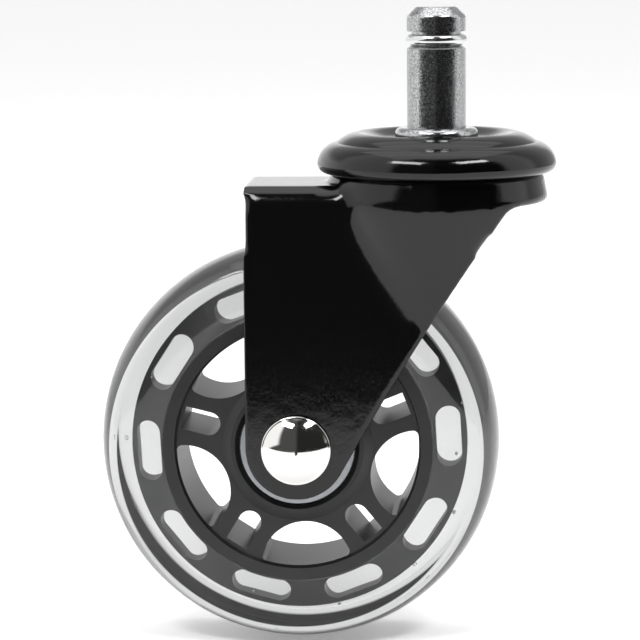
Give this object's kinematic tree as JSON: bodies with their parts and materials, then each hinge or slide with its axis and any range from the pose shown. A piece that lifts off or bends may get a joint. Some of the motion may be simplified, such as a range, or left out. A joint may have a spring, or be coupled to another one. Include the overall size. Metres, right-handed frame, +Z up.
{
  "type": "chair caster wheel",
  "caption": "Swivel chair caster with a plain grip-ring stem, a black pressed fork and a clear smoke-grey tyre on a spoked ball-bearing wheel.",
  "frame": {"origin": "on the stem axis, at the shoulder that rests against the chair base", "axes": "+Z up the stem; the wheel trails towards -X; +Y along the wheel axle, towards the caster's left"},
  "size_m": [0.0866, 0.045, 0.1201],
  "materials": {
    "zinc_plated_steel": "bright zinc-plated turned steel",
    "spring_steel": "plated spring steel",
    "black_enamelled_steel": "glossy black baked enamel on pressed steel",
    "hardened_steel": "pressed and hardened steel",
    "bearing_steel": "ground bearing steel",
    "nickel_plated_steel": "polished nickel plate",
    "black_nylon": "satin moulded nylon",
    "smoke_polyurethane": "clear smoke-grey cast polyurethane",
    "seal_rubber": "moulded nitrile rubber"
  },
  "bodies": {
    "stem": {"stem": "zinc_plated_steel", "grip_ring": "spring_steel", "swivel_cap": "black_enamelled_steel", "lower_race": "hardened_steel"},
    "fork": {"fork": "black_enamelled_steel", "axle": "nickel_plated_steel", "bearing_spacer": "spring_steel", "spacer_washer_right": "spring_steel", "spacer_washer_left": "spring_steel", "inner_race_right": "bearing_steel", "inner_race_left": "bearing_steel"},
    "upper_ball_row": {"upper_balls": "bearing_steel"},
    "lower_ball_row": {"lower_balls": "bearing_steel"},
    "wheel": {"wheel_core": "black_nylon", "tyre": "smoke_polyurethane", "outer_race_right": "bearing_steel", "outer_race_left": "bearing_steel", "bearing_seal_right_outer": "seal_rubber", "bearing_seal_right_inner": "seal_rubber", "bearing_seal_left_outer": "seal_rubber", "bearing_seal_left_inner": "seal_rubber"},
    "right_cage": {"ball_cage_right": "hardened_steel", "bearing_balls_right": "bearing_steel"},
    "left_cage": {"ball_cage_left": "hardened_steel", "bearing_balls_left": "bearing_steel"}
  },
  "joints": [
    {"name": "swivel", "type": "hinge", "parent": "stem", "child": "fork", "pos_m": [0, 0, 0], "axis": [0, 0, 1], "continuous": true},
    {"name": "upper_ball_orbit", "type": "hinge", "parent": "stem", "child": "upper_ball_row", "pos_m": [0, 0, 0], "axis": [0, 0, 1], "continuous": true},
    {"name": "lower_ball_orbit", "type": "hinge", "parent": "stem", "child": "lower_ball_row", "pos_m": [0, 0, 0], "axis": [0, 0, 1], "continuous": true},
    {"name": "wheel_spin", "type": "hinge", "parent": "fork", "child": "wheel", "pos_m": [-0.0261, 0, -0.0595], "axis": [0, 1, 0], "continuous": true},
    {"name": "right_cage_spin", "type": "hinge", "parent": "fork", "child": "right_cage", "pos_m": [-0.0261, 0, -0.0595], "axis": [0, 1, 0], "continuous": true},
    {"name": "left_cage_spin", "type": "hinge", "parent": "fork", "child": "left_cage", "pos_m": [-0.0261, 0, -0.0595], "axis": [0, 1, 0], "continuous": true}
  ],
  "couplings": [
    {"joint": "upper_ball_orbit", "follows": "swivel", "ratio": 0.5},
    {"joint": "lower_ball_orbit", "follows": "swivel", "ratio": 0.5},
    {"joint": "right_cage_spin", "follows": "wheel_spin", "ratio": 0.63227},
    {"joint": "left_cage_spin", "follows": "wheel_spin", "ratio": 0.63227}
  ]
}
